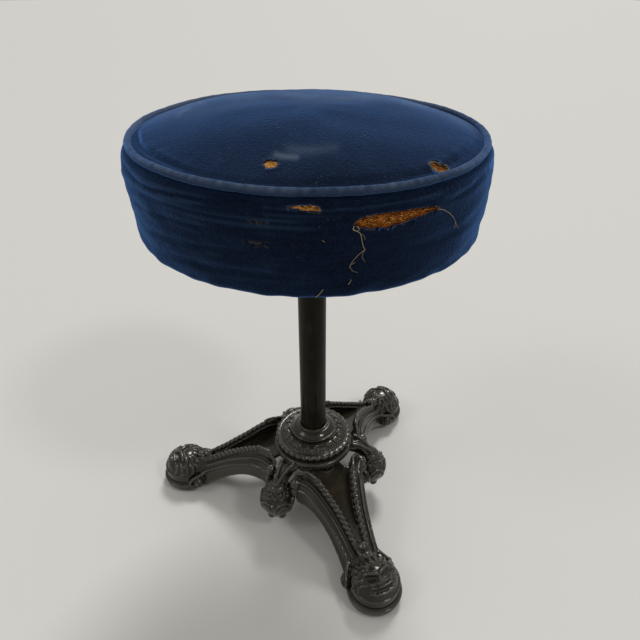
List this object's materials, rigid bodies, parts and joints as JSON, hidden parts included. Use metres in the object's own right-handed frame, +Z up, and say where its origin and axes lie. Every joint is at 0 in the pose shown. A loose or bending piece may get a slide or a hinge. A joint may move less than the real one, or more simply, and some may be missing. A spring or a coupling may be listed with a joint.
{
  "type": "revolving piano stool",
  "caption": "Round upholstered stool seat on a screw spindle in a tubular column, standing in an openwork cast-iron base with splayed legs, mask feet and round pendants.",
  "frame": {"origin": "on the floor, on the axis of the column and screw", "axes": "+Z up along the column; the front leg points along -Y; +X to the right"},
  "size_m": [0.3884, 0.397, 0.536],
  "materials": {
    "base_iron": "old dark enamel on cast iron, semi-gloss, worn brown on the edges",
    "column_paint": "dark brown-black, satin",
    "dark_steel": "old oiled steel",
    "screw_steel": "bright turned steel, oiled",
    "bush_iron": "turned iron, dull",
    "plate_iron": "rough cast, painted dark",
    "board_wood": "bare softwood, aged",
    "padding_fibre": "coarse orange-brown fibre",
    "velvet": "navy cotton velvet, rubbed and dusty",
    "velvet_welt": "navy velvet over a cord, rubbed paler"
  },
  "bodies": {
    "base": {"hub": "base_iron", "leg_front": "base_iron", "leg_right": "base_iron", "leg_left": "base_iron", "leg_bolt_front": "dark_steel", "leg_bolt_right": "dark_steel", "leg_bolt_left": "dark_steel", "column": "column_paint", "upper_nut": "dark_steel", "lower_washer": "dark_steel", "lower_nut": "dark_steel", "collar": "base_iron", "bush": "bush_iron", "bush_screw": "dark_steel"},
    "guide": {"stop_washer": "dark_steel"},
    "seat": {"spindle": "screw_steel", "stop_nut": "dark_steel", "stop_pin": "dark_steel", "seat_plate": "plate_iron", "plate_pin": "dark_steel", "wood_screw_1": "dark_steel", "wood_screw_2": "dark_steel", "wood_screw_3": "dark_steel", "wood_screw_4": "dark_steel", "seat_board": "board_wood", "padding": "padding_fibre", "cover_top": "velvet", "cover_side": "velvet", "welt": "velvet_welt"}
  },
  "joints": [
    {"name": "seat_rise", "type": "slide", "parent": "base", "child": "guide", "axis": [0, 0, 1], "range_m": [0, 0.0581]},
    {"name": "seat_turn", "type": "hinge", "parent": "guide", "child": "seat", "pos_m": [0, 0, 0.4], "axis": [0, 0, 1], "range_deg": [0, 2610]}
  ],
  "couplings": [
    {"joint": "seat_rise", "follows": "seat_turn", "m_per_rad": 0.0012732}
  ]
}
